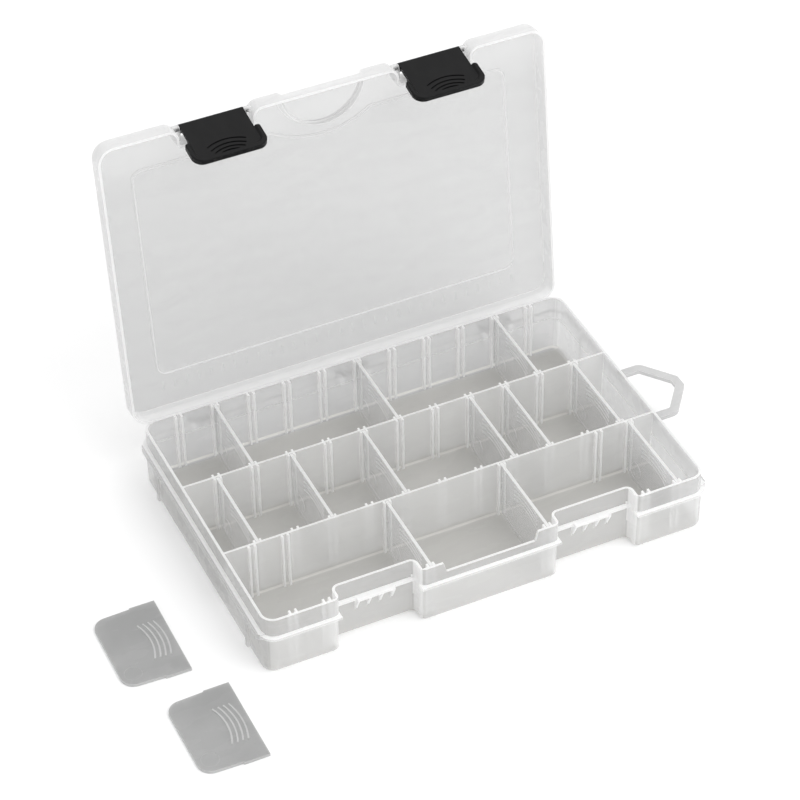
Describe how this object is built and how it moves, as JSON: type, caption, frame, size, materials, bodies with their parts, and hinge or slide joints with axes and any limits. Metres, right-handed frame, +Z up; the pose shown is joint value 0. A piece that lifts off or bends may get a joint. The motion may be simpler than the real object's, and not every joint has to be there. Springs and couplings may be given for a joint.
{
  "type": "fishing tackle box",
  "caption": "Flat translucent tackle box standing open, with a hinged lid, snap latches, slot-in dividers and a hang loop.",
  "frame": {"origin": "middle of the tray's flat underside", "axes": "+X along the box to the hang loop, +Y to the hinge side, +Z up"},
  "size_m": [0.3808, 0.2767, 0.2152],
  "materials": {
    "clear_plastic": "satin, milky translucent",
    "latch_plastic": "satin"
  },
  "bodies": {
    "tray": {"tray": "clear_plastic"},
    "lid": {"lid": "clear_plastic"},
    "latch_left": {"latch_left": "latch_plastic"},
    "latch_right": {"latch_right": "latch_plastic"},
    "divider_rear_1": {"divider_rear_1": "clear_plastic"},
    "divider_rear_2": {"divider_rear_2": "clear_plastic"},
    "divider_rear_3": {"divider_rear_3": "clear_plastic"},
    "divider_middle_1": {"divider_middle_1": "clear_plastic"},
    "divider_middle_2": {"divider_middle_2": "clear_plastic"},
    "divider_middle_3": {"divider_middle_3": "clear_plastic"},
    "divider_middle_4": {"divider_middle_4": "clear_plastic"},
    "divider_middle_5": {"divider_middle_5": "clear_plastic"},
    "divider_middle_6": {"divider_middle_6": "clear_plastic"},
    "divider_front_1": {"divider_front_1": "clear_plastic"},
    "divider_front_2": {"divider_front_2": "clear_plastic"},
    "divider_front_3": {"divider_front_3": "clear_plastic"},
    "spare_divider_1": {"spare_divider_1": "clear_plastic"},
    "spare_divider_2": {"spare_divider_2": "clear_plastic"}
  },
  "joints": [
    {"name": "lid_hinge", "type": "hinge", "parent": "tray", "child": "lid", "pos_m": [0, 0.0962, 0.0281], "axis": [-1, 0, 0], "range_deg": [-96.9, 0]},
    {"name": "latch_left_hinge", "type": "hinge", "parent": "lid", "child": "latch_left", "pos_m": [-0.06725, 0.12674, 0.21055], "axis": [-1, 0, 0], "range_deg": [0, 110]},
    {"name": "latch_right_hinge", "type": "hinge", "parent": "lid", "child": "latch_right", "pos_m": [0.06725, 0.12674, 0.21055], "axis": [-1, 0, 0], "range_deg": [0, 110]},
    {"name": "divider_rear_1_lift", "type": "slide", "parent": "tray", "child": "divider_rear_1", "axis": [0, 0, 1], "range_m": [0, 0.039]},
    {"name": "divider_rear_2_lift", "type": "slide", "parent": "tray", "child": "divider_rear_2", "axis": [0, 0, 1], "range_m": [0, 0.039]},
    {"name": "divider_rear_3_lift", "type": "slide", "parent": "tray", "child": "divider_rear_3", "axis": [0, 0, 1], "range_m": [0, 0.039]},
    {"name": "divider_middle_1_lift", "type": "slide", "parent": "tray", "child": "divider_middle_1", "axis": [0, 0, 1], "range_m": [0, 0.039]},
    {"name": "divider_middle_2_lift", "type": "slide", "parent": "tray", "child": "divider_middle_2", "axis": [0, 0, 1], "range_m": [0, 0.039]},
    {"name": "divider_middle_3_lift", "type": "slide", "parent": "tray", "child": "divider_middle_3", "axis": [0, 0, 1], "range_m": [0, 0.039]},
    {"name": "divider_middle_4_lift", "type": "slide", "parent": "tray", "child": "divider_middle_4", "axis": [0, 0, 1], "range_m": [0, 0.039]},
    {"name": "divider_middle_5_lift", "type": "slide", "parent": "tray", "child": "divider_middle_5", "axis": [0, 0, 1], "range_m": [0, 0.039]},
    {"name": "divider_middle_6_lift", "type": "slide", "parent": "tray", "child": "divider_middle_6", "axis": [0, 0, 1], "range_m": [0, 0.039]},
    {"name": "divider_front_1_lift", "type": "slide", "parent": "tray", "child": "divider_front_1", "axis": [0, 0, 1], "range_m": [0, 0.039]},
    {"name": "divider_front_2_lift", "type": "slide", "parent": "tray", "child": "divider_front_2", "axis": [0, 0, 1], "range_m": [0, 0.039]},
    {"name": "divider_front_3_lift", "type": "slide", "parent": "tray", "child": "divider_front_3", "axis": [0, 0, 1], "range_m": [0, 0.039]},
    {"name": "spare_divider_1_lift", "type": "slide", "parent": "tray", "child": "spare_divider_1", "axis": [0, 0, 1], "range_m": [0, 0.05]},
    {"name": "spare_divider_2_lift", "type": "slide", "parent": "tray", "child": "spare_divider_2", "axis": [0, 0, 1], "range_m": [0, 0.05]}
  ]
}
